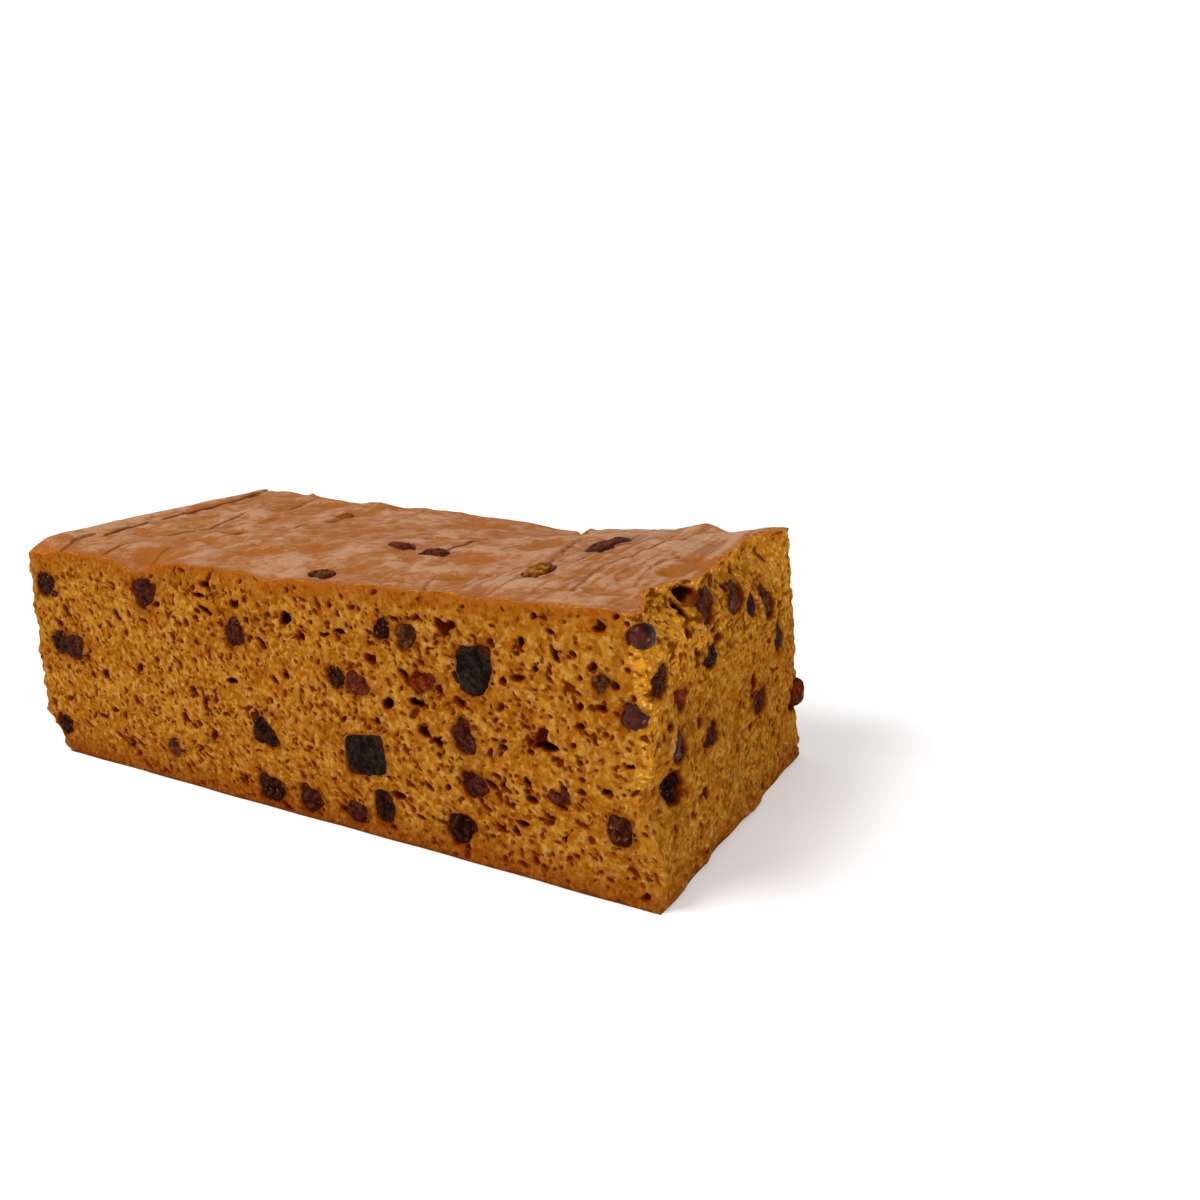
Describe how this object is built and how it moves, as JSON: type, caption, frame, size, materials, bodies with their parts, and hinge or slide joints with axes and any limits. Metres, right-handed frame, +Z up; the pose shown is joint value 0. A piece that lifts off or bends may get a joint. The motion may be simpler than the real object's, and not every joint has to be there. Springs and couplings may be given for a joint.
{
  "type": "spice bread",
  "caption": "Bar of dark spice bread cut from a slab loaf, with pored crumb, a satin crust on top and dried fruit showing on its faces.",
  "frame": {"origin": "centre of the bounding box's footprint, on the surface the bread rests on", "axes": "+X along the length towards the torn right end, +Z up; the front cut face with most of the fruit looks to -Y"},
  "size_m": [0.2821, 0.1113, 0.0882],
  "materials": {
    "bread": "matte crumb under a satin crust",
    "dark_fruit": "wrinkled skin with small highlights",
    "brown_fruit": "wrinkled skin with small highlights",
    "red_fruit": "glossy",
    "ashen_fruit": "dull, dusted with crumb"
  },
  "bodies": {
    "root": {"loaf": "bread", "front_left_edge": "dark_fruit", "front_left_pair_a": "dark_fruit", "front_left_pair_b": "dark_fruit", "front_left_foot": "dark_fruit", "front_upper_left": "dark_fruit", "front_middle_left": "brown_fruit", "front_wedge": "dark_fruit", "front_low_russet": "brown_fruit", "front_base_a": "dark_fruit", "front_base_b": "dark_fruit", "front_base_c": "dark_fruit", "front_base_d": "dark_fruit", "front_square": "dark_fruit", "front_twin_a": "dark_fruit", "front_twin_b": "brown_fruit", "front_upper_dark": "dark_fruit", "front_upper_ashen": "ashen_fruit", "front_flat_russet": "brown_fruit", "front_big": "dark_fruit", "front_middle_right": "dark_fruit", "front_lower_right": "dark_fruit", "front_low_rough": "dark_fruit", "front_right_ashen": "ashen_fruit", "front_right_corner": "red_fruit", "front_right_garnet": "red_fruit", "front_right_foot": "dark_fruit", "front_small_russet": "brown_fruit", "end_front": "dark_fruit", "end_dark_small": "dark_fruit", "end_middle_low": "dark_fruit", "end_upper_ashen": "ashen_fruit", "end_back_dark": "dark_fruit", "end_back_edge": "brown_fruit", "end_upper_russet": "brown_fruit", "end_upper_dark": "dark_fruit", "end_torn_top": "brown_fruit", "end_small_brown": "brown_fruit", "end_tall_garnet": "red_fruit", "end_front_dark": "dark_fruit", "end_flat_plum": "dark_fruit", "back_right_high": "dark_fruit", "back_right_low": "dark_fruit", "back_middle_high": "brown_fruit", "back_middle_low": "dark_fruit", "back_centre": "dark_fruit", "back_left_mid": "dark_fruit", "back_left_high": "brown_fruit", "back_left_low": "dark_fruit", "left_back": "dark_fruit", "left_middle": "dark_fruit", "left_high": "brown_fruit", "top_sunken": "dark_fruit", "top_wrinkled": "brown_fruit", "top_dark": "dark_fruit", "top_torn": "brown_fruit", "top_hollow": "brown_fruit", "top_edge": "dark_fruit"}
  },
  "joints": []
}
